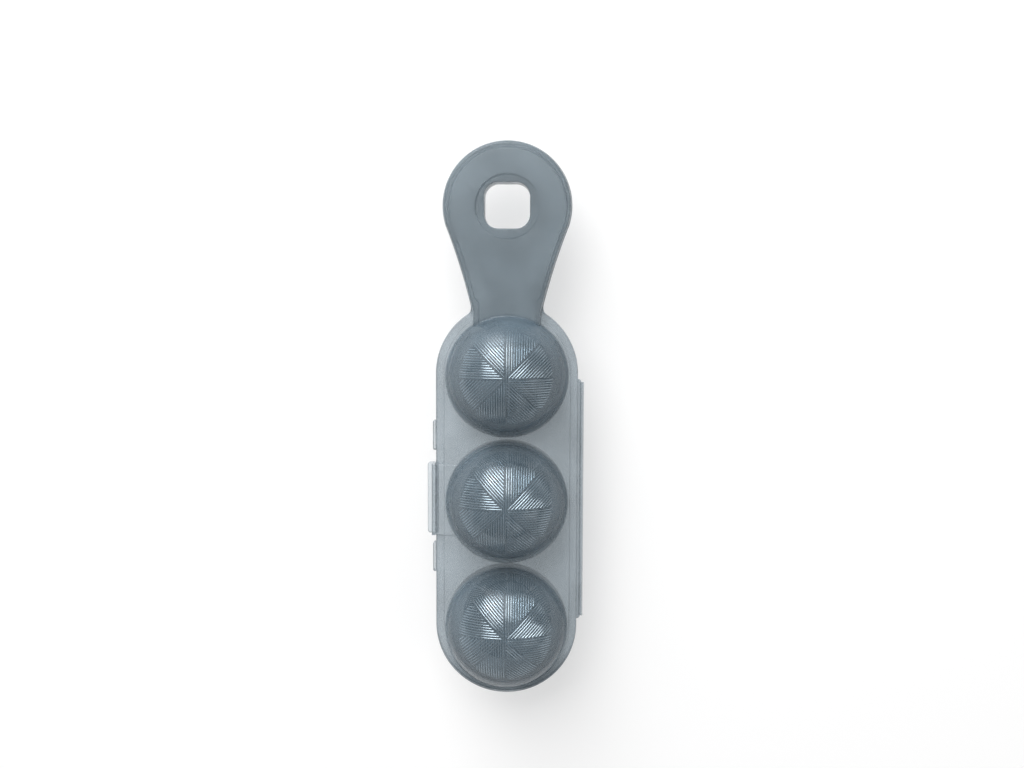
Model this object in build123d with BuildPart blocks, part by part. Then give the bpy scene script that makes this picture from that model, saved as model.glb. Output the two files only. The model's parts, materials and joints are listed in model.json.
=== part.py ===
from build123d import *
from math import asin, atan2, cos, hypot, sin, sqrt
import os

# Shaker mold for three small round rice balls, lying closed on its feet.
# Millimetres, +Z up. The origin is on the table under the middle cup, the handle points to +Y,
# the long hinge is on the +X side and the clasp on the -X side.

# Cups
cavity_radius = 16.5
cup_wall = 1.3
cup_pitch = 36.6
cup_count = 3

# Non-stick ribs inside each cup, in a pinwheel of straight runs
rib_sectors = 8
rib_pitch = 0.7
rib_width = 0.3
rib_height = 0.35
rib_reach = 13.2
rib_centre_gap = 0.6
rib_root = 0.2

# Flange round the row of cups
flange_margin = 3.95
flange_thickness = 1.5
flange_shift = 0.65
platform_inset = 2.1
platform_height = 0.6
parting_gap = 0.1

# Feet under the lower cups
foot_radius = 9.0
foot_wall = 1.4
foot_lift = 0.4
centre_pad_radius = 3.0

# Handle: a shallow pan in each half, closed against each other
handle_reach = 48.5
handle_end_radius = 18.5
neck_half_width = 10.0
neck_fillet = 2.0
flare_sagitta = 0.45
handle_height = 5.0
handle_wall = 1.3
handle_draft = 6.0
handle_edge_radius = 0.9
neck_pocket_width = 9.0
neck_wall = 2.0

# Hanging hole, a rounded square in a round boss
hole_width = 13.0
hole_corner = 4.0
boss_radius = 9.25

# Long hinge: a thin land on each half and a film between them
hinge_length = 70.0
land_width = 0.95
land_thickness = 0.6
land_corner_radius = 0.8
film_radius = 0.4
film_clearance = 0.05

# Clasp
clasp_length = 20.9
clasp_pad_height = 0.6
clasp_pad_depth = 7.2
clasp_film_radius = 0.35
flap_thickness = 1.0
flap_clearance = 0.2
hook_grip = 0.5
hook_clearance = 0.15
hook_height = 1.0
hook_tip_height = 0.4
lip_reach = 1.5
lip_thickness = 1.0
lip_corner_radius = 0.9

# Locating ears on the lower half, one each side of the clasp
ear_length = 8.6
ear_spacing = 35.6
ear_shift = 1.5
ear_thickness = 0.8
ear_clearance = 0.1
ear_rise = 1.2
ear_corner_radius = 0.7

# Places that follow from the sizes
standing = (Align.CENTER, Align.CENTER, Align.MIN)
across_from = (Align.CENTER, Align.MIN)
dome_radius = cavity_radius + cup_wall
wall_middle = cavity_radius + cup_wall / 2
flange_radius = cavity_radius + flange_margin
platform_top = flange_thickness + platform_height
pad_top = platform_top + clasp_pad_height
parting_height = dome_radius + foot_lift + parting_gap / 2
upper_face = parting_height + parting_gap / 2
lower_face = parting_height - parting_gap / 2
row_half_length = cup_pitch * (cup_count - 1) / 2
cup_places = [(0, row_half_length - cup_pitch * i) for i in range(cup_count)]
hinge_x = flange_radius + land_width + film_radius
clasp_axis_x = -flange_radius - clasp_film_radius
clasp_axis_z = upper_face + pad_top - clasp_film_radius
flap_inner_x = -flange_radius - flap_clearance
flap_outer_x = flap_inner_x - flap_thickness
hook_tip_x = -flange_radius + hook_grip
hook_top = lower_face - flange_thickness - hook_clearance
flap_bottom = hook_top - hook_height
lip_tip_x = flap_outer_x - lip_reach
side_section = Plane.XZ.offset(-flange_shift)


# Plan shapes

def tangent_point(corner, centre, radius):
    """Where the line from corner touches the circle, on the corner's outer side."""
    across, along = centre[0] - corner[0], centre[1] - corner[1]
    distance = hypot(across, along)
    turn = atan2(across, along) + asin(radius / distance)
    run = sqrt(distance**2 - radius**2)
    return corner[0] + run * sin(turn), corner[1] + run * cos(turn)


handle_centre_y = row_half_length + handle_reach
neck_y = row_half_length + flange_shift + sqrt(flange_radius**2 - neck_half_width**2)
neck_corner = (neck_half_width, neck_y)
hollow_start = neck_y - row_half_length + neck_wall
flare_end = tangent_point(neck_corner, (0, handle_centre_y), handle_end_radius)

with BuildSketch() as flange_plan:
    with Locations((0, flange_shift)):
        SlotCenterToCenter(2 * row_half_length, 2 * flange_radius, rotation=90)

with BuildSketch() as handle_plan:
    with BuildLine():
        Line((0, row_half_length), (neck_half_width, row_half_length))
        Line((neck_half_width, row_half_length), neck_corner)
        SagittaArc(neck_corner, flare_end, flare_sagitta)
        RadiusArc(flare_end, (0, handle_centre_y + handle_end_radius), -handle_end_radius)
        mirror(about=Plane.YZ)
    make_face()

with BuildSketch() as plate_plan:
    add(flange_plan.sketch)
    add(handle_plan.sketch)
    neck_corners = plate_plan.vertices().filter_by(
        lambda v: abs(abs(v.X) - neck_half_width) < 0.01 and abs(v.Y - neck_y) < 0.01
    )
    fillet(neck_corners, neck_fillet)

with BuildSketch() as rib_plan:
    for run in range(int(rib_reach / sqrt(2) / rib_pitch)):
        rib_offset = (run + 0.5) * rib_pitch
        rib_start = rib_offset + rib_centre_gap
        rib_end = sqrt(rib_reach**2 - rib_offset**2)
        if rib_end - rib_start > rib_pitch:
            with PolarLocations(0, rib_sectors):
                with Locations(((rib_start + rib_end) / 2, -rib_offset)):
                    Rectangle(rib_end - rib_start, rib_width)


# One cup with its ribs, parting face at Z = 0 and outside upwards
with BuildPart() as cup_ribs:
    add(rib_plan.sketch)
    extrude(amount=dome_radius)
    Sphere(cavity_radius + rib_root, mode=Mode.INTERSECT)
    Sphere(cavity_radius - rib_height, mode=Mode.SUBTRACT)

with BuildPart() as cup:
    Sphere(dome_radius, arc_size1=0, align=standing)
    Sphere(cavity_radius, mode=Mode.SUBTRACT)
    add(cup_ribs.part)


# Handle half: a pan with drafted sides, and the space inside it
with BuildPart() as handle_body:
    add(handle_plan.sketch)
    extrude(amount=handle_height, taper=handle_draft)
    fillet(handle_body.faces().sort_by(Axis.Z)[-1].edges(), handle_edge_radius)

with BuildPart() as handle_hollow:
    with BuildSketch():
        offset(handle_plan.sketch, -handle_wall)
        with Locations((0, row_half_length)):
            Rectangle(4 * flange_radius, 2 * hollow_start, mode=Mode.SUBTRACT)
    extrude(amount=handle_height - handle_wall, taper=handle_draft)
    with BuildSketch():
        with Locations((0, row_half_length)):
            Rectangle(neck_pocket_width, hollow_start + handle_wall, align=across_from)
    extrude(amount=handle_height - handle_wall)
    with BuildSketch():
        with Locations((0, handle_centre_y)):
            Circle(boss_radius)
    extrude(amount=handle_height, mode=Mode.SUBTRACT)
    with Locations(cup_places[0]):
        Sphere(wall_middle, mode=Mode.SUBTRACT)


# What both halves share besides the cups, parting face at Z = 0 and outside upwards
with BuildPart() as half_plate:
    add(plate_plan.sketch)
    extrude(amount=flange_thickness)
    with BuildSketch():
        offset(flange_plan.sketch, -platform_inset)
    extrude(amount=platform_top)
    add(handle_body.part)
    with BuildSketch() as land:
        with Locations((flange_radius, flange_shift)):
            Rectangle(2 * land_width, hinge_length)
        fillet(land.vertices().group_by(Axis.X)[-1], land_corner_radius)
    extrude(amount=land_thickness)
    add(handle_hollow.part, mode=Mode.SUBTRACT)
    with BuildSketch():
        with Locations((0, handle_centre_y)):
            RectangleRounded(hole_width, hole_width, hole_corner)
    extrude(amount=handle_height, mode=Mode.SUBTRACT)


# Upper half: the shared plate, the clasp's pad, the seat of the hinge film and the cups
with BuildPart() as upper_half:
    with Locations((0, 0, upper_face)):
        add(half_plate.part)
    with BuildSketch(Plane.XY.offset(upper_face)):
        with Locations((-flange_radius, flange_shift)):
            Rectangle(clasp_pad_depth, clasp_length, align=(Align.MIN, Align.CENTER))
    extrude(amount=pad_top)
    with BuildSketch(side_section):
        with Locations((hinge_x, parting_height)):
            Circle(film_radius + film_clearance)
    extrude(amount=hinge_length / 2, both=True, mode=Mode.SUBTRACT)
    with Locations([(x, y, upper_face) for x, y in cup_places]):
        Sphere(wall_middle, mode=Mode.SUBTRACT)
        add(cup.part)
upper_half.part.label = "upper_half"


# Lower half: the plate turned over, with ears, a foot ring and centre pad under each cup, and the cups
with BuildPart() as lower_half:
    with Locations((0, 0, lower_face)):
        add(half_plate.part.mirror(Plane.XY))
    with BuildSketch(Plane.XY.offset(lower_face - flange_thickness)) as ears:
        with Locations((-flange_radius - ear_clearance, ear_shift)):
            with GridLocations(0, ear_spacing, 1, 2):
                Rectangle(ear_thickness, ear_length, align=(Align.MAX, Align.CENTER))
        fillet(ears.vertices().group_by(Axis.X)[0], ear_corner_radius)
    extrude(amount=flange_thickness + parting_gap + ear_rise)
    with BuildSketch(Plane.XY.offset(lower_face - flange_thickness)):
        with Locations((-flange_radius, ear_shift)):
            with GridLocations(0, ear_spacing, 1, 2):
                Rectangle(2 * ear_clearance, ear_length)
    extrude(amount=flange_thickness)
    with BuildSketch():
        with Locations(cup_places):
            Circle(foot_radius)
            Circle(foot_radius - foot_wall, mode=Mode.SUBTRACT)
            Circle(centre_pad_radius)
    extrude(amount=foot_radius)
    with BuildSketch(side_section):
        with Locations((hinge_x, parting_height)):
            Circle(film_radius + film_clearance)
    extrude(amount=hinge_length / 2, both=True, mode=Mode.SUBTRACT)
    with Locations([(x, y, lower_face) for x, y in cup_places]):
        Sphere(wall_middle, mode=Mode.SUBTRACT)
        add(cup.part.mirror(Plane.XY))
lower_half.part.label = "lower_half"


# Film of the long hinge, a thin bead on the hinge's axis
with BuildPart() as hinge_film:
    with BuildSketch(side_section):
        with Locations((hinge_x, parting_height)):
            Circle(film_radius)
    extrude(amount=hinge_length / 2 - land_corner_radius, both=True)
hinge_film.part.label = "hinge_film"


# Film of the clasp, a thin bead along the pad's outer upper edge
with BuildPart() as clasp_film:
    with BuildSketch(side_section):
        with Locations((clasp_axis_x, clasp_axis_z)):
            Circle(clasp_film_radius)
    extrude(amount=clasp_length / 2, both=True)
clasp_film.part.label = "clasp_film"


# Clasp flap: a plate down the side, with a hook under the lower flange and a finger lip
with BuildPart() as clasp_flap:
    with BuildSketch(side_section):
        with BuildLine():
            Polyline(
                (flap_inner_x, clasp_axis_z),
                (flap_inner_x, hook_top),
                (hook_tip_x, hook_top),
                (hook_tip_x, hook_top - hook_tip_height),
                (flap_inner_x, flap_bottom),
                (lip_tip_x, flap_bottom),
                (lip_tip_x, flap_bottom + lip_thickness),
                (flap_outer_x, flap_bottom + lip_thickness),
                (flap_outer_x, clasp_axis_z),
                close=True,
            )
        make_face()
        with Locations((clasp_axis_x, clasp_axis_z)):
            Circle(clasp_film_radius + film_clearance, mode=Mode.SUBTRACT)
    extrude(amount=clasp_length / 2, both=True)
    lip_corners = clasp_flap.edges().filter_by(Axis.Z).group_by(Axis.X)[0]
    fillet(lip_corners, lip_corner_radius)
clasp_flap.part.label = "clasp_flap"


os.makedirs("parts", exist_ok=True)
for piece in (lower_half, upper_half, hinge_film, clasp_flap, clasp_film):
    export_step(piece.part, f"parts/{piece.part.label}.step")
    print(piece.part.label, len(piece.part.solids()), round(piece.part.volume))
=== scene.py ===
# %% [markdown]
# # A shaker mold for three small round rice balls
#
# The real thing is one moulding in smoky see-through plastic: two alike halves with three round cups each,
# a long thin hinge between them, a snap clasp on the other side and a hollow paddle handle with a hole to
# hang it by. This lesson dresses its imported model.

# %% Load the frame
import json
import bmesh
import bpy
import numpy as np
from mathutils import Matrix, Vector


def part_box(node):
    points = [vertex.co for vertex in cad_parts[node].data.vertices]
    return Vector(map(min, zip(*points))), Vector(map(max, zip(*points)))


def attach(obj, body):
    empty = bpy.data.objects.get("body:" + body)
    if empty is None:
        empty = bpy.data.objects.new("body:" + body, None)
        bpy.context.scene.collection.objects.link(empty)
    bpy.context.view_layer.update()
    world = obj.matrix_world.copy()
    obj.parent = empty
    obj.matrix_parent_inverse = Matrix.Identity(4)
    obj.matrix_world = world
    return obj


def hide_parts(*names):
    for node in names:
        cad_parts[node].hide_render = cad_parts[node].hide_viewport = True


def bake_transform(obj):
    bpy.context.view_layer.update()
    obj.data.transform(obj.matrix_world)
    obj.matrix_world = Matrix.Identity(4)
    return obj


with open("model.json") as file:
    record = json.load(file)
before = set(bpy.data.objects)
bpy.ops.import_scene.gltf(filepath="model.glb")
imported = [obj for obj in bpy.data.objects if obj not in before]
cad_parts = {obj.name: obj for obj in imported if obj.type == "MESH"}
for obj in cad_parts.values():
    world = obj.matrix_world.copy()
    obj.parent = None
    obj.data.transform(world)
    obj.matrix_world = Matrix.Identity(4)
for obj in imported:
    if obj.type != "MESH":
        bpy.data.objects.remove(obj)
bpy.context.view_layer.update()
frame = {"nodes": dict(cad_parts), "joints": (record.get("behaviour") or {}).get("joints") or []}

print("Nodes:", ", ".join(sorted(frame["nodes"])))

# %% [markdown]
# ## Sizes
#
# The sizes that a maker would measure with a caliper are written once, in millimetres, and everything else
# is worked out from them. The two parting faces and the two turning axes come from the frame, so that the
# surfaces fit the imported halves. Drawing in millimetres keeps the numbers readable, and every surface is
# turned into metres at the end, when it gets its plastic. Sizes of the smaller pieces stand in the cells that
# make them.

# %% Sizes in millimetres
MM = 0.001
cavity_radius, cup_wall, cup_pitch = 16.5, 1.3, 36.6
dome_radius = cavity_radius + cup_wall
wall_middle = cavity_radius + cup_wall / 2
cup_rows = np.array([cup_pitch, 0.0, -cup_pitch])

flange_radius, flange_thickness, flange_shift, flange_edge = 20.45, 1.5, 0.65, 0.45
platform_inset, platform_top, platform_edge = 2.1, 2.1, 0.3
pad_top, pad_depth, pad_length, pad_corner, pad_edge = 2.7, 7.2, 20.9, 0.6, 0.5
parting_edge = 0.12

handle_centre, handle_end_radius, handle_height = 85.1, 18.5, 5.0
handle_wall, handle_draft, handle_edge = 1.3, np.tan(np.radians(6.0)), 0.9
neck_half_width, neck_fillet_run, flare_sagitta = 10.0, 1.6, 0.45
hole_width, hole_corner, boss_radius = 13.0, 4.0, 9.25
hinge_length, land_thickness, land_corner, land_gap, land_edge = 70.0, 0.6, 0.8, 0.4, 0.15

joint_places = {joint["name"]: np.array(joint["pos_m"]) / MM for joint in frame["joints"]}
hinge_x, parting_height = joint_places["mold_opening"][[0, 2]]
clasp_x, clasp_z = joint_places["clasp_swing"][[0, 2]]
upper_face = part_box("upper_half")[0].z / MM
lower_face = 2 * parting_height - upper_face
print(f"Parting faces at {lower_face:.2f} and {upper_face:.2f} mm, hinge axis at x = {hinge_x:.2f} mm")

# %% [markdown]
# ## From arrays to meshes
#
# Every solid below is rows of points: a closed outline repeated at several heights, each time a little
# larger or smaller. Row after row of quads joins them, and a flat face or a single pole closes each end.
# Because the points are one array, its faces are index arithmetic, with no loop over points.

# %% Rows of points become a closed mesh


def row_faces(rows, columns):
    """Quads between each row and the next, and from each column to the one beside it, round and round."""
    row, column = np.meshgrid(np.arange(rows - 1), np.arange(columns), indexing="ij")
    beside = (column + 1) % columns
    low, high = row * columns, (row + 1) * columns
    return np.stack([low + column, low + beside, high + beside, high + column], -1).reshape(-1, 4)


def mesh_object(name, points, faces):
    """A mesh object with its place in its points, in millimetres."""
    mesh = bpy.data.meshes.new(name)
    mesh.from_pydata(np.asarray(points).tolist(), [], faces)
    mesh.update()
    piece = bpy.data.objects.new(name, mesh)
    bpy.context.scene.collection.objects.link(piece)
    return piece


def closed_rows(name, rows):
    """rows is an array of rows, columns and 3. Its first and last row each close with one flat face."""
    count, columns = rows.shape[:2]
    faces = row_faces(count, columns).tolist()
    faces.append(list(range(columns))[::-1])
    faces.append(list(range((count - 1) * columns, count * columns)))
    return mesh_object(name, rows.reshape(-1, 3), faces)


def turned(name, profile, centre=(0.0, 0.0), segments=160):
    """A profile of (radius, height) turned round an upright axis, from its low end to its pole at the top."""
    angle = np.linspace(0, 2 * np.pi, segments, endpoint=False)
    radius, height = np.asarray(profile[:-1], float).T
    x = centre[0] + radius[:, None] * np.cos(angle)
    y = centre[1] + radius[:, None] * np.sin(angle)
    rows = np.stack([x, y, np.broadcast_to(height[:, None], x.shape)], -1)
    points = np.vstack([rows.reshape(-1, 3), [[*centre, profile[-1][1]]]])
    faces = row_faces(len(radius), segments).tolist()
    last, pole = (len(radius) - 1) * segments, len(points) - 1
    faces += [[last + i, last + (i + 1) % segments, pole] for i in range(segments)]
    faces.append(list(range(segments))[::-1])
    return mesh_object(name, points, faces)


print("Two rows of three points are joined by the quads", row_faces(2, 3).tolist())

# %% [markdown]
# ## Outlines
#
# Seen from above, the flange is a slot: two half circles joined by straight sides. The handle widens from
# a narrow neck to a round end, along an edge that is hollowed by less than half a millimetre. A moulder
# rounds the corner between them, so that the plastic doesn't tear there. Each outline is a closed row of
# points, counted anticlockwise, and one function moves any of them inwards, as walls and rounded edges need.

# %% Outlines as closed rows of points


def arc(centre, radius, start, end, count):
    """Points at equal angles on a circle, from start to end in degrees."""
    angle = np.radians(np.linspace(start, end, count))
    return np.column_stack([centre[0] + radius * np.cos(angle), centre[1] + radius * np.sin(angle)])


def slot_outline(radius, half_length, middle=0.0, count=65):
    """Two half circles of the radius, half_length either side of the middle, joined by straight sides."""
    return np.vstack([
        arc((0, middle - half_length), radius, 180, 360, count),
        arc((0, middle + half_length), radius, 0, 180, count),
    ])


def rounded_box(width, length, corner, centre=(0.0, 0.0), count=13):
    """A rectangle with quarter circles at its four corners."""
    x, y = width / 2 - corner, length / 2 - corner
    corners = [(x, -y, 270), (x, y, 0), (-x, y, 90), (-x, -y, 180)]
    arcs = [arc((centre[0] + a, centre[1] + b), corner, t, t + 90, count) for a, b, t in corners]
    return np.vstack(arcs)


def inset(outline, distance):
    """The outline moved inwards: each point goes along the bisector of its two sides' inward normals,
    far enough that both sides move by the distance."""
    side = np.roll(outline, -1, 0) - outline
    side /= np.linalg.norm(side, axis=1, keepdims=True)
    inward = np.column_stack([-side[:, 1], side[:, 0]])
    bisector = inward + np.roll(inward, 1, 0)
    bisector /= np.linalg.norm(bisector, axis=1, keepdims=True)
    stretch = np.sum(bisector * inward, 1, keepdims=True)
    return outline + bisector * distance / stretch


def flare_points(count=33):
    """The handle's right edge: the straight line from the neck's corner to where it touches the round end,
    hollowed towards the middle by a parabola of the sagitta's depth."""
    across, along = -neck_half_width, handle_centre - neck_corner_y
    distance = np.hypot(across, along)
    turn = np.arctan2(across, along) + np.arcsin(handle_end_radius / distance)
    run = np.sqrt(distance**2 - handle_end_radius**2)
    t = np.linspace(0, 1, count)[:, None]
    straight = np.array([np.sin(turn), np.cos(turn)])
    hollow = np.array([-np.cos(turn), np.sin(turn)])
    start = np.array([neck_half_width, neck_corner_y])
    return start + straight * run * t + hollow * flare_sagitta * 4 * t * (1 - t)


row_half_length = cup_pitch
flange_top_y = row_half_length + flange_shift
neck_corner_y = flange_top_y + np.sqrt(flange_radius**2 - neck_half_width**2)
flare = flare_points()
round_start = np.degrees(np.arctan2(flare[-1, 1] - handle_centre, flare[-1, 0]))
round_end = arc((0, handle_centre), handle_end_radius, round_start, 180 - round_start, 97)[1:-1]
mirrored = np.array([-1.0, 1.0])

handle_outline = np.vstack([
    [[neck_half_width, row_half_length]], flare, round_end, flare[::-1] * mirrored,
    [[-neck_half_width, row_half_length]],
])


def neck_fillet(before, corner, after, count=9):
    """A curve that leaves one side and joins the other smoothly: the quadratic Bezier of three points."""
    t = np.linspace(0, 1, count)[:, None]
    return (1 - t) ** 2 * before + 2 * t * (1 - t) * corner + t**2 * after


corner_angle = np.degrees(np.arcsin((neck_corner_y - flange_top_y) / flange_radius))
fillet_angle = np.degrees(neck_fillet_run / flange_radius)
end_arc = arc((0, flange_top_y), flange_radius, 0, corner_angle - fillet_angle, 49)
past_fillet = flare[flare[:, 1] > neck_corner_y + neck_fillet_run]
fillet = neck_fillet(end_arc[-1], flare[0], past_fillet[0])
right_side = np.vstack([end_arc, fillet[1:-1], past_fillet])
far_arc = arc((0, flange_shift - row_half_length), flange_radius, 180, 360, 129)
plate_outline = np.vstack([far_arc, right_side, round_end, right_side[::-1] * mirrored])
print(f"The plate is {np.ptp(plate_outline[:, 1]):.1f} mm long and {np.ptp(plate_outline[:, 0]):.1f} mm wide")

# %% [markdown]
# ## Slabs with soft edges
#
# Nothing that comes out of a mold has a knife edge. A slab is an outline carried upwards by a profile, a
# list of steps inwards and heights, and a quarter circle in that list rounds its edge. The thin line of
# light along such an edge is most of what makes plastic look like plastic, so it is real geometry here.

# %% Slabs


def soft_top(top, radius, start_inset=0.0, steps=5):
    """Steps of a quarter circle: inwards by radius(1 - cos) while rising by radius sin."""
    angle = np.radians(np.linspace(0, 90, steps))
    return [(start_inset + radius * (1 - np.cos(a)), top - radius + radius * np.sin(a)) for a in angle]


def soft_bottom(bottom, radius, start_inset=0.0, steps=4):
    """The same quarter circle below a slab, from its flat underside out to its side."""
    angle = np.radians(np.linspace(90, 0, steps))
    return [(start_inset + radius * (1 - np.cos(a)), bottom + radius - radius * np.sin(a)) for a in angle]


def slab(name, outline, profile):
    """The outline repeated at each (inset, height) of the profile, closed by a flat face at both ends."""
    rows = [np.column_stack([inset(outline, d), np.full(len(outline), z)]) for d, z in profile]
    return closed_rows(name, np.array(rows))


def combine(base, others, operation):
    """One clean solid from several by Blender's exact boolean. The others are used up."""
    group = bpy.data.collections.new("operands")
    for other in others:
        group.objects.link(other)
    modifier = base.modifiers.new("Combine", "BOOLEAN")
    modifier.operation, modifier.solver = operation, "EXACT"
    modifier.operand_type, modifier.collection = "COLLECTION", group
    bpy.context.view_layer.update()
    shape = base.evaluated_get(bpy.context.evaluated_depsgraph_get())
    old, base.data = base.data, bpy.data.meshes.new_from_object(shape)
    base.modifiers.clear()
    bpy.data.meshes.remove(old)
    for other in others:
        bpy.data.meshes.remove(other.data)
    bpy.data.collections.remove(group)
    return without_slivers(base)


def without_slivers(piece, reach=0.0005):
    """Merges points closer than the reach, in millimetres, and dissolves faces thinner than it, which
    cutting one curved surface by another leaves behind."""
    shape = bmesh.new()
    shape.from_mesh(piece.data)
    bmesh.ops.remove_doubles(shape, verts=shape.verts, dist=reach)
    bmesh.ops.dissolve_degenerate(shape, edges=shape.edges, dist=reach)
    shape.to_mesh(piece.data)
    shape.free()
    return piece


edge_steps = soft_top(flange_thickness, flange_edge)
print("The flange's upper edge steps inwards by", [round(float(step), 2) for step, height in edge_steps])

# %% [markdown]
# ## Domes and the small curves at their foot
#
# Seen from outside, a cup is half a ball that grows out of a raised platform. Where it meets the platform or
# the handle, the real mold has a small hollow curve, and a bright arc of light lies in it. Uniting two
# solids makes a sharp corner there, so the curve is part of each dome's own profile, and one more arc of it
# fills the corner at the neck.

# %% Domes
cup_fillet, neck_arc_fillet, dome_root = 0.45, 0.75, 0.6


def base_fillet(radius, floor, count=6):
    """Points (radius, height) of a hollow quarter curve that joins a flat floor to the dome. Its circle
    touches both, so its centre is at the dome's radius plus its own from the dome's centre. The curve
    starts 12 degrees past its lowest point, because surfaces that only graze each other unite badly."""
    reach = dome_radius + radius
    height = floor + radius
    middle = np.sqrt(reach**2 - height**2)
    angle = np.linspace(np.radians(270 - 12), np.pi + np.arcsin(height / reach), count)
    return [(middle + radius * np.cos(a), height + radius * np.sin(a)) for a in angle]


def dome(name, row):
    """The outside of a cup: a base inside the plate, a small fillet, and the ball up to its pole."""
    fillet = base_fillet(cup_fillet, platform_top)
    tangent = np.arctan2(fillet[-1][1], fillet[-1][0])
    rise = np.linspace(tangent, np.pi / 2, 39)[1:]
    ball = [(dome_radius * np.cos(a), dome_radius * np.sin(a)) for a in rise]
    return turned(name, [(fillet[0][0], dome_root)] + fillet + ball, (0.0, row))


def neck_arc(name):
    """The fillet between the handle's top and the cup beside it. Towards the handle's two sides its radius
    shrinks as a half circle's height does, until it is nearly nothing. It is sunk in both neighbours."""
    sunk, side_gap, least = 0.8, 0.45, 0.02
    share = np.linspace(-1, 1, 25)
    half_turn = np.arcsin((neck_half_width - handle_edge - side_gap) / (dome_radius - 0.2))
    rows = []
    for turn, part in zip(np.pi / 2 - share * half_turn, np.sqrt(1 + least - share**2)):
        curve = base_fillet(neck_arc_fillet * part, handle_height)
        low = handle_height - sunk
        buried, top = curve[-1][0] - sunk, curve[-1][1]
        radius, height = np.array([(buried, low), (curve[0][0], low)] + curve + [(buried, top)]).T
        rows.append(np.column_stack([radius * np.cos(turn), cup_rows[0] + radius * np.sin(turn), height]))
    return closed_rows(name, np.array(rows))


print(f"The fillet round a dome reaches {base_fillet(cup_fillet, platform_top)[0][0]:.2f} mm from its middle")

# %% [markdown]
# ## One half, outside up
#
# Both halves start as the same solid, with the parting face at height 0 and the outside up. Building it
# from simple solids that overlap and then uniting them is the way a toolmaker cuts the cavity too: a plate,
# the raised platform, the handle's block, the hinge's land and three domes. Platform, block and domes start
# at heights of their own inside the plate, because two faces in one plane unite badly.

# %% One uncut half
platform_root, handle_root = 0.8, 0.4


def half_block(name):
    """Plate, platform, handle block, hinge land and domes as one solid."""
    plate = slab(name, plate_outline, soft_bottom(0, parting_edge) + edge_steps)
    platform = slab("platform", slot_outline(flange_radius - platform_inset, row_half_length, flange_shift),
                    [(0, platform_root)] + soft_top(platform_top, platform_edge))
    root_inset, top_inset = handle_root * handle_draft, (handle_height - handle_edge) * handle_draft
    handle = slab("handle", handle_outline,
                  [(root_inset, handle_root)] + soft_top(handle_height, handle_edge, top_inset, 9))
    land_width = hinge_x - land_gap - flange_radius
    land = slab("land", rounded_box(2 * land_width, hinge_length, land_corner, (flange_radius, flange_shift)),
                soft_bottom(0, 0.1) + soft_top(land_thickness, land_edge))
    domes = [dome("dome", row) for row in cup_rows]
    return combine(plate, [platform, handle, land, neck_arc("neck_arc")] + domes, "UNION")


block = half_block("upper_shell")
print(f"One uncut half has {len(block.data.polygons)} faces")

# %% [markdown]
# ## What is cut out
#
# The insides are solids too, and they come out of a half in one cut at the end, because a cut that comes
# last stays open. Three are the half balls that the rice fills. The handle is hollow, since thick plastic
# sinks as it cools: it has a shallow pan with walls as thick as the cups', and a pocket that goes on into the
# neck. The pocket ends at a ball halfway through the cup's wall, so that the cup stays closed. The last one
# is the hole to hang the mold by.

# %% The cutting solids
pocket_half_width, neck_wall, cut_start = 8.3, 2.0, -1.0
cup_flare, hole_flare = 0.5, 0.6


def cavity(name, row):
    """What the rice fills: a half ball. Its rim flares by a quarter circle, so that grains don't catch."""
    turn = np.radians(np.linspace(90, 0, 7))
    rim = [(cavity_radius + cup_flare * (1 - np.cos(a)), cup_flare * (1 - np.sin(a))) for a in turn]
    rise = np.linspace(np.arcsin(cup_flare / cavity_radius), np.pi / 2, 41)[1:]
    ball = [(cavity_radius * np.cos(a), cavity_radius * np.sin(a)) for a in rise]
    return turned(name, [(rim[0][0], cut_start)] + rim + ball, (0.0, row))


def handle_hollow(name):
    """The shallow pan inside the handle, with a pocket in its neck, round the boss of the hanging hole.
    bend rounds the way from their walls to their floor, and corner_run the pan's two corners at the neck."""
    pan_start, bend, corner_run = neck_corner_y + neck_wall, 1.3, 3.0
    floor = handle_height - handle_wall
    wall_line = inset(handle_outline, handle_wall)
    corner = np.array([np.interp(pan_start, wall_line[1:25, 1], wall_line[1:25, 0]), pan_start])
    wall_line = wall_line[wall_line[:, 1] > pan_start + corner_run]
    corner_curve = neck_fillet(corner - (corner_run, 0), corner, wall_line[0], 7)[:-1]
    wall_line = np.vstack([corner_curve, wall_line, corner_curve[::-1] * mirrored])
    pan = slab(name, wall_line,
               [(0, cut_start), (0, 0)] + soft_top(floor, bend, (floor - bend) * handle_draft, 8))
    pocket_end = pan_start + 2 * bend
    pocket = slab("pocket", rounded_box(2 * pocket_half_width, pocket_end - row_half_length, bend + 0.3,
                                        (0, (pocket_end + row_half_length) / 2)),
                  [(0, 1.2 * cut_start)] + soft_top(floor, bend, 0.0, 8))
    boss = slab("boss", arc((0, handle_centre), boss_radius, 0, 360, 97)[:-1],
                [(0, 2 * cut_start), (0, handle_height)])
    wall = turned("wall", [(wall_middle * np.cos(a), wall_middle * np.sin(a))
                           for a in np.linspace(-0.3, np.pi / 2, 41)], (0.0, cup_rows[0]))
    return combine(combine(pan, [pocket], "UNION"), [boss, wall], "DIFFERENCE")


def hanging_hole(name):
    """A rounded square right through, flared at the outer face by a quarter circle."""
    square = rounded_box(hole_width, hole_width, hole_corner, (0, handle_centre))
    turn = np.radians(np.linspace(0, 90, 6))
    rim = [(-hole_flare * (1 - np.cos(a)), handle_height - hole_flare * (1 - np.sin(a))) for a in turn]
    return slab(name, square, [(0, cut_start)] + rim + [(rim[-1][0], handle_height - cut_start)])


def cut_out(block):
    """The three cavities, the handle's hollow and the hanging hole come out of the block."""
    tools = [cavity("cavity", row) for row in cup_rows]
    return combine(block, tools + [handle_hollow("hollow"), hanging_hole("hole")], "DIFFERENCE")


print(f"The handle's pan is {handle_height - handle_wall:.1f} mm deep")

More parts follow.
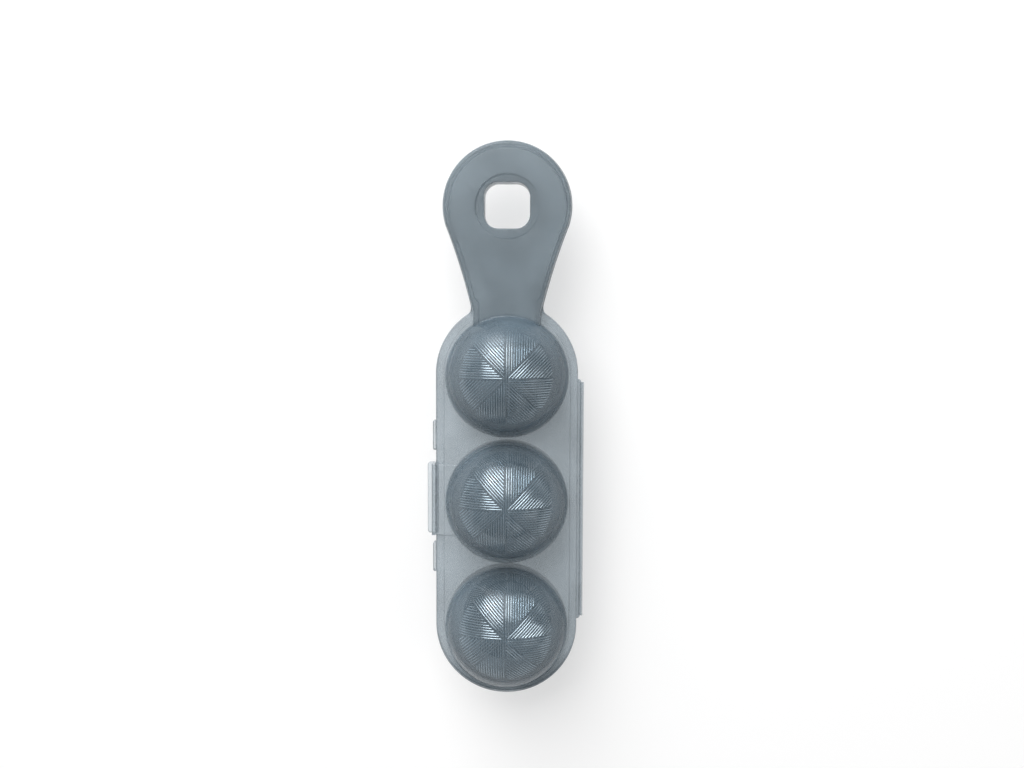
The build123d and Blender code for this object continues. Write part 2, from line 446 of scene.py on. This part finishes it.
# %% [markdown]
# ## Pad, feet and ears
#
# The clasp hangs from a thicker pad on the upper half, where the thin flange alone would bend. The lower half
# stands on three rings with a small pad in the middle of each, and has two ears beside the clasp that keep
# the halves in line. They are solids that overlap the block a little, so that they unite with it cleanly.

# %% The small solids of the two halves
foot_outer, foot_inner, foot_lift, centre_pad = 9.0, 7.6, 0.4, 3.0
ear_length, ear_spacing, ear_shift = 8.6, 35.6, 1.5
ear_thickness, ear_corner, ear_rise = 0.8, 0.55, 1.2


def clasp_pad():
    """The thicker patch from the flange's edge to the middle dome, where the clasp's film starts. It stands
    a hundredth past the edge, so that the two don't end in one plane."""
    past_edge = 0.01
    middle = (-flange_radius - past_edge + pad_depth / 2, flange_shift)
    return slab("pad", rounded_box(pad_depth, pad_length, pad_corner, middle),
                soft_bottom(0, parting_edge) + soft_top(pad_top, pad_edge))


def foot(row):
    """A ring that the mold stands on, and the pad in its middle. Its other end is sunk halfway into the
    cup's wall: each of the wall's two faces is at the square root of its radius^2 minus the ring's^2."""
    inside, outside = np.sqrt([cavity_radius**2 - foot_inner**2, dome_radius**2 - foot_outer**2])
    top, sunk, edge = dome_radius + foot_lift, (inside + outside) / 2, 0.25
    turn = np.radians(np.linspace(0, 90, 5))
    rise, run = top - edge + edge * np.sin(turn), edge * (1 - np.cos(turn))
    section = [(foot_outer, sunk)] + [(foot_outer - r, z) for r, z in zip(run, rise)]
    section += [(foot_inner + r, z) for r, z in zip(run[::-1], rise[::-1])] + [(foot_inner, sunk)]
    radius, height = np.array(section).T
    angle = np.linspace(0, 2 * np.pi, 128, endpoint=False)[:, None]
    rows = np.stack([radius * np.cos(angle), row + radius * np.sin(angle), height + 0 * angle], -1)
    ring = mesh_object("ring", rows.reshape(-1, 3), ring_faces(*rows.shape[:2]))
    pad = slab("centre_pad", arc((0, row), centre_pad, 0, 360, 65)[:-1],
               [(0, wall_middle)] + soft_top(top, 0.2))
    return [ring, pad]


def ring_faces(rows, columns):
    """Quads over a grid that closes on itself both ways, as a ring's does."""
    row, column = np.meshgrid(np.arange(rows), np.arange(columns), indexing="ij")
    next_row, beside = (row + 1) % rows * columns, (column + 1) % columns
    here = row * columns
    corners = [here + column, next_row + column, next_row + beside, here + beside]
    return np.stack(corners, -1).reshape(-1, 4).tolist()


def ear(side):
    """A tab outside the flange, rounded at its outer corners, and the bridge that carries it."""
    gap, bridge_width = 0.1, 0.7
    inner = -flange_radius - gap
    outer, middle = inner - ear_thickness, ear_shift + side * ear_spacing / 2
    low, high = middle - ear_length / 2, middle + ear_length / 2
    outline = np.vstack([
        [[inner, low], [inner, high]],
        arc((outer + ear_corner, high - ear_corner), ear_corner, 90, 180, 9),
        arc((outer + ear_corner, low + ear_corner), ear_corner, 180, 270, 9),
    ])
    tab = slab("tab", outline, soft_bottom(lower_face - upper_face - ear_rise, 0.15)
               + soft_top(flange_thickness, 0.2))
    bridge = slab("bridge", rounded_box(bridge_width, ear_length - 0.2, 0.1, (inner + gap / 2, middle), 3),
                  [(0, 0.02), (0, flange_thickness - 0.25)])
    return [tab, bridge]


print(f"The mold stands on rings {2 * foot_outer:.0f} mm across, {foot_lift} mm below its domes")

# %% [markdown]
# ## Two halves from one block
#
# The upper half takes the block with the pad, the lower one a copy of the block with feet and ears. The lower
# one is the same drawing turned over: its heights count down from its face, and its faces are wound the other
# way round, so that they still point out of the plastic.

# %% Upper and lower half


def place_half(piece, face, turned_over=False):
    """Moves a half from its drawing height to its parting face. Turned over, heights count downwards."""
    points = np.empty(len(piece.data.vertices) * 3, np.float32)
    piece.data.vertices.foreach_get("co", points)
    points = points.reshape(-1, 3)
    points[:, 2] = face + (-points[:, 2] if turned_over else points[:, 2])
    piece.data.vertices.foreach_set("co", points.ravel())
    if turned_over:
        piece.data.flip_normals()
    piece.data.update()
    return piece


def smooth_with_creases(piece, crease_degrees=38):
    """Smooth shading up to the crease angle, with normals that keep the flat faces flat."""
    piece.data.shade_smooth()
    piece.data.set_sharp_from_angle(angle=np.radians(crease_degrees))
    weighted = piece.modifiers.new("Weighted normals", "WEIGHTED_NORMAL")
    weighted.keep_sharp = True
    return piece


block_copy = bpy.data.objects.new("lower_shell", block.data.copy())
bpy.context.scene.collection.objects.link(block_copy)

upper_shell = cut_out(combine(block, [clasp_pad()], "UNION"))
smooth_with_creases(place_half(upper_shell, upper_face))

feet_and_ears = [solid for row in cup_rows for solid in foot(row)] + ear(1) + ear(-1)
lower_shell = cut_out(combine(block_copy, feet_and_ears, "UNION"))
smooth_with_creases(place_half(lower_shell, lower_face, turned_over=True))
for shell in (upper_shell, lower_shell):
    print(f"{shell.name} has {len(shell.data.polygons)} faces")

# %% [markdown]
# ## Ribs that rice can't stick to
#
# Inside each cup, fine ribs stand in eight sectors like a pinwheel. Every rib runs straight when seen from
# above and follows the ball's curve otherwise. They are what a buyer sees first, because each one catches
# its own line of light through the wall. A bump map would fake them from above only, so each rib is a small
# closed bar: a section of eight points carried along its run, all of them in one array operation. The back
# of each bar is sunk in the wall and slightly crowned. It gets a finish of its own, because seen from
# outside, through the wall, a rib throws the light back as a prism does.

# %% Ribs
rib_sectors, rib_pitch, rib_reach, rib_gap = 8, 0.7, 13.2, 0.6
rib_half_width, rib_height, rib_root = 0.16, 0.35, 0.2
rib_section = np.array([
    (1, 0.5), (0.36, 1), (-0.36, 1), (-1, 0.5), (-1, -0.65), (-0.5, -1), (0.5, -1), (1, -0.65),
])
back_sides = 3


def rib_runs():
    """Offset, start and end of each rib of one sector: the runs lie side by side, start past the sector's
    diagonal, and end on a circle."""
    count = int(rib_reach / np.sqrt(2) / rib_pitch)
    offset = (np.arange(count) + 0.5) * rib_pitch
    start, end = offset + rib_gap, np.sqrt(rib_reach**2 - offset**2)
    keep = end - start > rib_pitch
    return offset[keep], start[keep], end[keep]


def rib_points(samples=7):
    """Points of every rib of a half, as an array of ribs, samples, section points and 3. A point lies
    where its place in plan meets a ball of its own radius, so height is sqrt(radius^2 - x^2 - y^2)."""
    offset, start, end = rib_runs()
    across, share = rib_section.T
    across, depth = rib_half_width * across, np.where(share > 0, rib_root, rib_height) * share
    along = start[:, None] + (end - start)[:, None] * np.linspace(0, 1, samples)
    x = np.broadcast_to(along[:, :, None], along.shape + across.shape)
    y = across - offset[:, None, None] + 0 * x
    z = np.sqrt((cavity_radius + depth) ** 2 - x**2 - y**2)
    turn = np.radians(np.arange(rib_sectors) * 360 / rib_sectors)[:, None, None, None]
    plan_x, plan_y = x * np.cos(turn) - y * np.sin(turn), x * np.sin(turn) + y * np.cos(turn)
    one_cup = np.stack([plan_x, plan_y, z + 0 * plan_x], -1).reshape(-1, samples, len(across), 3)
    return np.concatenate([one_cup + (0, row, 0) for row in cup_rows])


def rib_piece(name, face, turned_over):
    """All ribs of a half as one piece. The first sides of each section are its back, in the second finish."""
    points = rib_points()
    ribs, samples, section = points.shape[:3]
    first = (np.arange(ribs) * samples * section)[:, None, None]
    sides = (first + row_faces(samples, section)).reshape(-1, 4).tolist()
    ends = np.arange(section)
    starts = (first[:, 0] + ends[::-1]).tolist()
    finishes = (first[:, 0] + (samples - 1) * section + ends).tolist()
    piece = mesh_object(name, points.reshape(-1, 3), sides + starts + finishes)
    column = np.tile(np.arange(section), ribs * (samples - 1))
    finish = np.concatenate([column < back_sides, np.zeros(2 * ribs, bool)]).astype(np.int32)
    piece.data.materials.append(None)
    piece.data.materials.append(None)
    piece.data.polygons.foreach_set("material_index", finish)
    piece.data.shade_smooth()
    piece.data.set_sharp_from_angle(angle=np.radians(48))
    return place_half(piece, face, turned_over)


upper_ribs = rib_piece("upper_ribs", upper_face, False)
lower_ribs = rib_piece("lower_ribs", lower_face, True)
print(f"{len(rib_points())} ribs in each half, {len(upper_ribs.data.polygons)} faces")

# %% [markdown]
# ## Bending films
#
# A living hinge is the same plastic, thinned until it bends. The long one is folded back on itself while the
# mold is closed, and lies flat when it is open. The clasp's one bridges from the pad to the flap. Both are a
# strip's section, a line with a thickness, carried along Y.

# %% Hinge film and clasp film


def strip_section(line, thickness):
    """A closed outline round an open line: the line moved out by half the thickness, and back likewise."""
    side = np.gradient(line, axis=0)
    side /= np.linalg.norm(side, axis=1, keepdims=True)
    normal = np.column_stack([-side[:, 1], side[:, 0]]) * thickness / 2
    return np.vstack([line + normal, (line - normal)[::-1]])


def along_y(name, section, places):
    """A closed section of x and z, carried along Y to each place."""
    x, z = section.T
    rows = np.array([np.column_stack([x, np.full(len(x), y), z]) for y in places])
    return closed_rows(name, rows[::-1] if signed_area(section) > 0 else rows)


def signed_area(outline):
    """Half the sum of cross products round the outline, above 0 when it runs anticlockwise."""
    x, z = outline.T
    return 0.5 * np.sum(x * np.roll(z, -1) - z * np.roll(x, -1))


film_thickness, fold_radius, root_run = 0.3, 0.25, 0.35
half_film = hinge_length / 2 - land_corner
fold = arc((hinge_x, parting_height), fold_radius, -90, 90, 15)
inner_end = hinge_x - land_gap - root_run
fold_line = np.vstack([
    [[inner_end, parting_height - fold_radius]], fold, [[inner_end, parting_height + fold_radius]],
])
film_places = flange_shift + np.linspace(-half_film, half_film, 41)
hinge_film = along_y("folded_hinge_film", strip_section(fold_line, film_thickness), film_places)

flap_half_length = pad_length / 2
bridge_rise, bridge_thickness, bridge_share = 0.22, 0.22, 0.985
bridge_line = np.array([
    (0.55, -0.02), (0.3, 0), (0, 0.01), (-0.25, -0.03), (-0.43, -0.15), (-0.52, -0.32), (-0.54, -0.5),
]) + (clasp_x, clasp_z + bridge_rise)
bridge_places = flange_shift + np.linspace(-flap_half_length, flap_half_length, 15) * bridge_share
clasp_film = along_y("clasp_bridge_film", strip_section(bridge_line, bridge_thickness), bridge_places)
print(f"Hinge film folded over {2 * half_film:.1f} mm, clasp film {np.ptp(bridge_places):.1f} mm long")

# %% [markdown]
# ## The clasp's flap
#
# The flap hangs down beside the flange, hooks under the lower half and ends in a lip for a fingertip. Its
# section has only ten corners, and each is softened. The lip's two ends are rounded in plan: the lip's reach
# shrinks there by a quarter circle, which the rows near the ends follow.

# %% Clasp flap
flap_inner, flap_thickness, lip_reach, lip_thickness, lip_corner = -flange_radius - 0.2, 1.0, 1.5, 1.0, 0.9
flap_outer, flap_softness = flap_inner - flap_thickness, 0.22
hook_top = lower_face - flange_thickness - 0.15
flap_bottom, hook_tip = hook_top - 1.0, -flange_radius + 0.5


def softened(outline, run, count=4):
    """The outline with each corner cut by a quadratic Bezier that starts and ends the run away from it."""
    before, after = np.roll(outline, 1, 0) - outline, np.roll(outline, -1, 0) - outline
    near = [side / np.linalg.norm(side, axis=1, keepdims=True) for side in (before, after)]
    reach = [np.minimum(run, np.linalg.norm(side, axis=1, keepdims=True) * 0.45) for side in (before, after)]
    start, end = outline + near[0] * reach[0], outline + near[1] * reach[1]
    t = np.linspace(0, 1, count)[:, None, None]
    curve = (1 - t) ** 2 * start + 2 * t * (1 - t) * outline + t**2 * end
    return curve.transpose(1, 0, 2).reshape(-1, 2)


flap_section = softened(np.array([
    (clasp_x - 0.40, clasp_z), (flap_outer, clasp_z),
    (flap_outer, flap_bottom + lip_thickness), (flap_outer - lip_reach, flap_bottom + lip_thickness),
    (flap_outer - lip_reach, flap_bottom), (flap_inner, flap_bottom),
    (hook_tip, hook_top - 0.4), (hook_tip, hook_top), (flap_inner, hook_top), (flap_inner, clasp_z - 0.38),
]), flap_softness)


def flap_rows():
    """Rows of the flap's section along Y. Near each end the lip's points are held back to a quarter circle
    of the corner radius, and the last rows step inwards for a soft edge."""
    edge = 0.15
    step = lip_corner * (1 - np.cos(np.radians(np.linspace(0, 90, 10))))
    from_end = np.concatenate([step, [3.0, 6.0]])
    places = np.concatenate([-flap_half_length + from_end, flap_half_length - from_end[::-1]])
    distance = flap_half_length - np.abs(places)
    short = np.clip(lip_corner - distance, 0, lip_corner)
    reach = lip_reach - lip_corner + np.sqrt(lip_corner**2 - short**2)
    soft = edge * (1 - np.sqrt(1 - np.clip(1 - distance / edge, 0, 1) ** 2))
    rows = []
    for y, lip, inward in zip(places, reach, soft):
        shape = inset(flap_section, inward) if inward else flap_section.copy()
        shape[:, 0] = np.maximum(shape[:, 0], flap_outer - lip)
        rows.append(np.column_stack([shape[:, 0], np.full(len(shape), flange_shift + y), shape[:, 1]]))
    rows = np.array(rows)
    return rows[::-1] if signed_area(flap_section) > 0 else rows


flap = closed_rows("snap_flap", flap_rows())
smooth_with_creases(flap, 50)
for film in (hinge_film, clasp_film):
    smooth_with_creases(film, 50)
print(f"The flap is {2 * flap_half_length:.1f} mm long and its hook holds {hook_tip - flap_inner:.2f} mm")

# %% [markdown]
# ## A helper for materials
#
# A material is a graph of nodes, and written link by link it fills pages. This helper adds a node, feeds its
# sockets with numbers or with other nodes' outputs, and gives its own output back, so that a formula for a
# colour reads like any other formula.

# %% A node helper


class Nodes:
    """Adds nodes to one material and joins them, so that a formula reads like a formula."""

    def __init__(self, material):
        material.use_nodes = True
        self.tree = material.node_tree
        self.tree.nodes.clear()

    def add(self, kind, inputs=None, **settings):
        node = self.tree.nodes.new(kind)
        for key, value in settings.items():
            setattr(node, key, value)
        for key, value in (inputs or {}).items():
            self.feed(node.inputs[key], value)
        return node

    def feed(self, socket, value):
        if isinstance(value, bpy.types.NodeSocket):
            self.tree.links.new(value, socket)
        else:
            socket.default_value = value

    def math(self, operation, *values, clamp=False):
        node = self.add("ShaderNodeMath", dict(enumerate(values)), operation=operation)
        node.use_clamp = clamp
        return node.outputs[0]

    def smooth_range(self, value, low, high, to_low=0.0, to_high=1.0):
        inputs = {"Value": value, "From Min": low, "From Max": high, "To Min": to_low, "To Max": to_high}
        return self.add("ShaderNodeMapRange", inputs, interpolation_type="SMOOTHSTEP").outputs["Result"]

    def noise(self, scale, detail=3.0, roughness=0.5):
        inputs = {"Vector": self.place, "Scale": scale, "Detail": detail, "Roughness": roughness}
        return self.add("ShaderNodeTexNoise", inputs).outputs["Fac"]

    def blend_colour(self, factor, first, second):
        node = self.add("ShaderNodeMix", {"Factor": factor}, data_type="RGBA")
        for socket, colour in ((node.inputs["A"], first), (node.inputs["B"], second)):
            self.feed(socket, (*colour, 1.0) if isinstance(colour, tuple) else colour)
        return node.outputs["Result"]

    def finish(self, share, first, second):
        mix = self.add("ShaderNodeMixShader", {"Fac": share, 1: first.outputs[0], 2: second.outputs[0]})
        self.add("ShaderNodeOutputMaterial", {"Surface": mix.outputs["Shader"]})

    @property
    def place(self):
        return self.add("ShaderNodeTexCoord").outputs["Object"]


# %% [markdown]
# ## Where the plastic is deep, and where shade is painted
#
# The same plastic looks dark where much of it lies behind itself: in the cups with their ribs most, in the
# handle less, and in the flange least. The cups are darker still by a painted shade, for the mold's shadow
# on the table under them, and the flange's far end gets a painted shade too. Measuring the way through it,
# as real absorption does, needs many rays and turns noisy, so each surface tells from its place in the mold
# which region it is in. Object coordinates give that place, and they stay with a piece when it turns.

# %% Three regions
mask_fade, neck_overlap, far_shade_start, far_shade_run = 0.8, 1.5, 5.0, 13.0


def region_masks(nodes):
    """Three values at a place, each from 0 to 1: in a cup, in the handle, and in the far end's painted shade.
    The distance in plan to the nearest cup's middle is found by wrapping y to one cup's pitch."""
    split = nodes.add("ShaderNodeSeparateXYZ", {"Vector": nodes.place})
    x, y = split.outputs["X"], split.outputs["Y"]
    wrapped = nodes.math("WRAP", y, cup_pitch / 2 * MM, -cup_pitch / 2 * MM)
    distance = nodes.math("SQRT", nodes.math("ADD", nodes.math("MULTIPLY", x, x),
                                             nodes.math("MULTIPLY", wrapped, wrapped)))
    rim = dome_radius + 0.3
    near = nodes.smooth_range(distance, rim * MM, (rim - mask_fade) * MM)
    # The wrapped distance would find further cups past the last one, so the row ends at the handle.
    in_row = nodes.math("LESS_THAN", y, (cup_rows[0] + dome_radius + 0.5) * MM)
    past_neck = nodes.smooth_range(y, (neck_corner_y - neck_overlap) * MM, (neck_corner_y + 1.0) * MM)
    aside = nodes.math("ABSOLUTE", x)
    beside_middle = nodes.smooth_range(aside, neck_half_width * MM, (neck_half_width - 0.7) * MM)
    in_neck = nodes.math("MULTIPLY", beside_middle, nodes.math("GREATER_THAN", y, (cup_rows[0] + 10.0) * MM))
    handle = nodes.math("MAXIMUM", past_neck, in_neck)
    # Painted shade: towards the end opposite the handle the flange darkens, as though less light reached it.
    far_shade_edge = cup_rows[2] - far_shade_start
    far_end_shade = nodes.smooth_range(y, far_shade_edge * MM, (far_shade_edge - far_shade_run) * MM)
    return nodes.math("MULTIPLY", near, in_row), handle, far_end_shade


print(f"The far end darkens from y = {cup_rows[2] - far_shade_start:.1f} mm on")

# %% [markdown]
# ## Smoky plastic
#
# Polypropylene with a little black in it is neither clear nor solid. Each surface lets part of the light
# through, tinted, and scatters the rest, and it does less of the first where it is seen edge-on, because
# the light's way through the plastic is longer there. So the shader mixes a satin surface with a
# transparent one, and each region has its own share and colour. Flow marks, a faint cloudiness and a fine
# grain keep it from looking like a computer's glass.

# %% The plastic


def smoky_plastic(name, hides, colours, tint=(0.922, 0.946, 0.96), far_end_shade_more=0.0):
    """Satin plastic over a transparent one. hides is how much of what is behind it a surface hides, seen
    square on, and colours are one of each for the flange, the handle and the cups; the cups' darker one is
    partly painted shade. far_end_shade_more is the painted shade's extra hiding in the far end of the flange."""
    material = bpy.data.materials.new(name)
    nodes = Nodes(material)
    cup, handle, far_end_shade = region_masks(nodes)
    cloud, flow, grain = nodes.noise(90.0, 4.0, 0.55), nodes.noise(26.0, 2.0), nodes.noise(2600.0, 2.0)
    # Painted shade: the flange's colour darkens towards the far end.
    flange = nodes.blend_colour(nodes.math("MULTIPLY", far_end_shade, 0.9), colours[0], colours[2])
    plain = nodes.blend_colour(handle, flange, colours[1])
    # The cups' darker colour is partly the deeper plastic and ribs, and partly painted shade of the shadow
    # under them.
    colour = nodes.blend_colour(cup, plain, colours[2])
    # Edge-on the way through the plastic is longer, most of all in the thin flange, so the colour deepens.
    facing = nodes.add("ShaderNodeLayerWeight", {"Blend": 0.5}).outputs["Facing"]
    thin = nodes.math("MULTIPLY", nodes.math("SUBTRACT", 1.0, cup), nodes.math("SUBTRACT", 1.0, handle))
    edge_on = nodes.math("POWER", facing, nodes.math("MULTIPLY_ADD", thin, -1.8, 3.0))
    colour = nodes.blend_colour(nodes.math("MULTIPLY", edge_on, 0.8), colour, colours[2])
    # Clouds vary the colour and the gloss, and two bumps give the flow marks and the fine grain.
    colour = nodes.add("ShaderNodeHueSaturation", {
        "Value": nodes.smooth_range(cloud, 0.3, 0.7, 0.84, 1.14), "Color": colour}).outputs["Color"]
    fine = nodes.add("ShaderNodeBump", {"Strength": 0.12, "Distance": 0.00006, "Height": grain})
    waves = nodes.add("ShaderNodeBump", {"Strength": 0.3, "Distance": 0.0004, "Height": flow,
                                         "Normal": fine.outputs["Normal"]})
    surface = nodes.add("ShaderNodeBsdfPrincipled", {
        "Base Color": colour, "Roughness": nodes.smooth_range(cloud, 0.3, 0.7, 0.22, 0.33), "IOR": 1.49,
        "Normal": waves.outputs["Normal"]})
    clear = nodes.add("ShaderNodeBsdfTransparent", {"Color": (*tint, 1.0)})
    # What each region hides seen square on, and up to 0.95 as it turns edge-on.
    square_on = nodes.math("MULTIPLY_ADD", cup, hides[2] - hides[0], hides[0])
    square_on = nodes.math("MULTIPLY_ADD", handle, hides[1] - hides[0], square_on)
    # In the far end the flange also hides more, part of the same painted shade.
    square_on = nodes.math("MULTIPLY_ADD", nodes.math("MULTIPLY", far_end_shade, thin), far_end_shade_more, square_on)
    longer_way = nodes.math("MULTIPLY", edge_on, nodes.math("SUBTRACT", 0.95, square_on))
    cloudy = nodes.math("MULTIPLY_ADD", flow, 0.12, -0.06)
    hidden = nodes.math("ADD", nodes.math("ADD", square_on, longer_way), cloudy, clamp=True)
    nodes.finish(hidden, clear, surface)
    return material


# %% [markdown]
# ## The backs of the ribs
#
# From outside, each rib is seen through the wall that it stands on. Light goes in, meets the rib's far sides
# and comes back, as in a row of small prisms, so the ribs look like bright threads where the lamps are, and
# dark ones elsewhere. Tracing that inside a wall needs many bounces. A pale metal on the sunk, crowned backs
# throws the light the same way at once.

# %% The ribs' backs and the four plastics


def rib_back(name):
    """The back of a rib inside the wall: it throws light back like a prism, so it is a pale satin mirror
    that covers most of what is behind it."""
    material = bpy.data.materials.new(name)
    nodes = Nodes(material)
    cloud = nodes.noise(300.0, 2.0)
    surface = nodes.add("ShaderNodeBsdfPrincipled", {
        "Base Color": (0.80, 0.89, 0.95, 1.0), "Metallic": 1.0,
        "Roughness": nodes.smooth_range(cloud, 0.3, 0.7, 0.10, 0.19)})
    clear = nodes.add("ShaderNodeBsdfTransparent", {"Color": (0.95, 0.96, 0.97, 1.0)})
    nodes.finish(nodes.smooth_range(cloud, 0.3, 0.7, 0.82, 0.97), clear, surface)
    return material


slate, mid, pale = (0.102, 0.142, 0.174), (0.160, 0.200, 0.228), (0.36, 0.40, 0.43)
# The shell's far end hides more as a painted shade, and the cups' slate is partly painted shade too.
shell_plastic = smoky_plastic("smoky_shell", (0.225, 0.39, 0.355), (pale, mid, slate), far_end_shade_more=0.16)
film_plastic = smoky_plastic("thin_film", (0.22, 0.22, 0.22), (pale, pale, mid))
clasp_plastic = smoky_plastic("smoky_clasp", (0.15, 0.15, 0.15), (pale, pale, mid))
rib_plastic = smoky_plastic("smoky_ribs", (0.3, 0.3, 0.35), (pale, pale, mid))
rib_glint = rib_back("rib_backs")
print("Plastics:", ", ".join(m.name for m in (shell_plastic, film_plastic, clasp_plastic, rib_plastic)))

# %% [markdown]
# ## Pieces meet their plastic and their body
#
# Each piece now gets its plastics. Most ride on the body that they move with, the two films stay where they
# are, and where a piece stands for a node, it replaces that one.

# %% Dress the bodies


def finish_piece(piece, materials, body, node=None, joined=None):
    """Turns a piece into metres, gives it its plastics, and lets it ride on a body. Given joined, it keeps
    its place in the world instead, and neither the body nor joined's places are used."""
    piece.data.transform(Matrix.Scale(MM, 4))
    while len(piece.data.materials) < len(materials):
        piece.data.materials.append(None)
    for index, material in enumerate(materials):
        piece.data.materials[index] = material
    if joined:
        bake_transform(piece)
    else:
        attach(piece, body)
    if node:
        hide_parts(node)


def point(x, z):
    """A place on the middle of the clasp's or hinge's length, in metres."""
    return (x * MM, flange_shift * MM, z * MM)


finish_piece(upper_shell, [shell_plastic], "upper", "upper_half")
finish_piece(lower_shell, [shell_plastic], "lower", "lower_half")
finish_piece(upper_ribs, [rib_plastic, rib_glint], "upper")
finish_piece(lower_ribs, [rib_plastic, rib_glint], "lower")
finish_piece(flap, [clasp_plastic], "clasp", "clasp_flap")
hinge_bend = (point(hinge_x, parting_height - fold_radius), point(hinge_x, parting_height + fold_radius))
clasp_bend = (point(clasp_x + 0.2, clasp_z), point(clasp_x - 0.38, clasp_z))
finish_piece(hinge_film, [film_plastic], ("lower", "upper"), "hinge_film", hinge_bend)
finish_piece(clasp_film, [film_plastic], ("upper", "clasp"), "clasp_film", clasp_bend)
print("Pieces:", ", ".join(o.name for o in (upper_shell, lower_shell, upper_ribs, lower_ribs, flap)))

# %% [markdown]
# ## The table
#
# The mold lies on a pale table, as in a catalogue. Seen by the camera, in a reflection or through the
# plastic, the table is half paint and half a white that needs no light, so that it stays white wherever the
# lamps stand and still shows the mold's shadow. To light that bounces on to the mold it is only paint, so it
# adds no light of its own there.

# %% Table
table_half, white_share = 8.0, 0.5
table_mesh = bpy.data.meshes.new("table")
table_mesh.from_pydata([(-table_half, -table_half, 0), (table_half, -table_half, 0),
                        (table_half, table_half, 0), (-table_half, table_half, 0)], [], [(0, 1, 2, 3)])
table = bpy.data.objects.new("table", table_mesh)
bpy.context.scene.collection.objects.link(table)
table_material = bpy.data.materials.new("pale_table")
table_nodes = Nodes(table_material)
paint = table_nodes.add("ShaderNodeBsdfDiffuse", {"Color": (0.88, 0.88, 0.88, 1.0)})
white = table_nodes.add("ShaderNodeEmission", {"Color": (1.0, 1.0, 1.0, 1.0), "Strength": 1.0})
rays = table_nodes.add("ShaderNodeLightPath").outputs
seen = table_nodes.math("MAXIMUM", rays["Is Camera Ray"],
                        table_nodes.math("MAXIMUM", rays["Is Glossy Ray"], rays["Is Transmission Ray"]))
table_nodes.finish(table_nodes.math("MULTIPLY", seen, white_share), paint, white)
table_mesh.materials.append(table_material)
print(f"The table is {2 * table_half:.0f} m wide, so that its edge stays far from the mold in low views")

# %% [markdown]
# ## Light and camera
#
# The light is soft, as in a studio. The main softbox stands past the handle and a little to the left, which
# is what draws the bright lines on the ribs of each cup's upper left. A lower one behind it carries these
# lines further out towards the cup's edge, where the surface is steeper. The camera looks almost straight
# down from about 38 cm. Its place, tilt and lens were solved from the corners, cup centres and clasp ends of
# the real mold, so that the sizes above land where they were seen.

# %% Lamps, world and camera


def softbox(name, place, target, size, power):
    """A square lamp at a place, facing a target."""
    lamp = bpy.data.lights.new(name, "AREA")
    lamp.size, lamp.energy = size, power
    holder = bpy.data.objects.new(name, lamp)
    holder.location = place
    holder.rotation_euler = (Vector(target) - Vector(place)).to_track_quat("-Z", "Y").to_euler()
    bpy.context.scene.collection.objects.link(holder)


mold_middle = (0, 0.02, 0)
softbox("main_softbox", (-0.26, 0.70, 0.75), mold_middle, size=0.85, power=12.7)
softbox("low_softbox", (-0.35, 1.03, 0.36), mold_middle, size=0.6, power=5.8)
softbox("side_softbox", (0.9, -0.3, 0.8), mold_middle, size=0.6, power=1.5)

world = bpy.data.worlds.new("studio")
world.use_nodes = True
world.node_tree.nodes["Background"].inputs["Color"].default_value = (1.0, 1.0, 1.0, 1.0)
world.node_tree.nodes["Background"].inputs["Strength"].default_value = 0.4
bpy.context.scene.world = world
bpy.context.scene.view_settings.view_transform = "Standard"

camera_data = bpy.data.cameras.new("camera")
camera_data.lens, camera_data.sensor_width = 44.774, 36.0
camera = bpy.data.objects.new("camera", camera_data)
camera.location = (0.010651, 0.063363, 0.384804)
camera.rotation_euler = tuple(np.radians([-4.5471, 1.4523, 0.1778]))
bpy.context.scene.collection.objects.link(camera)
bpy.context.scene.camera = camera
print(f"The camera looks down from {camera.location.z * 100:.0f} cm with a {camera_data.lens:.0f} mm lens")
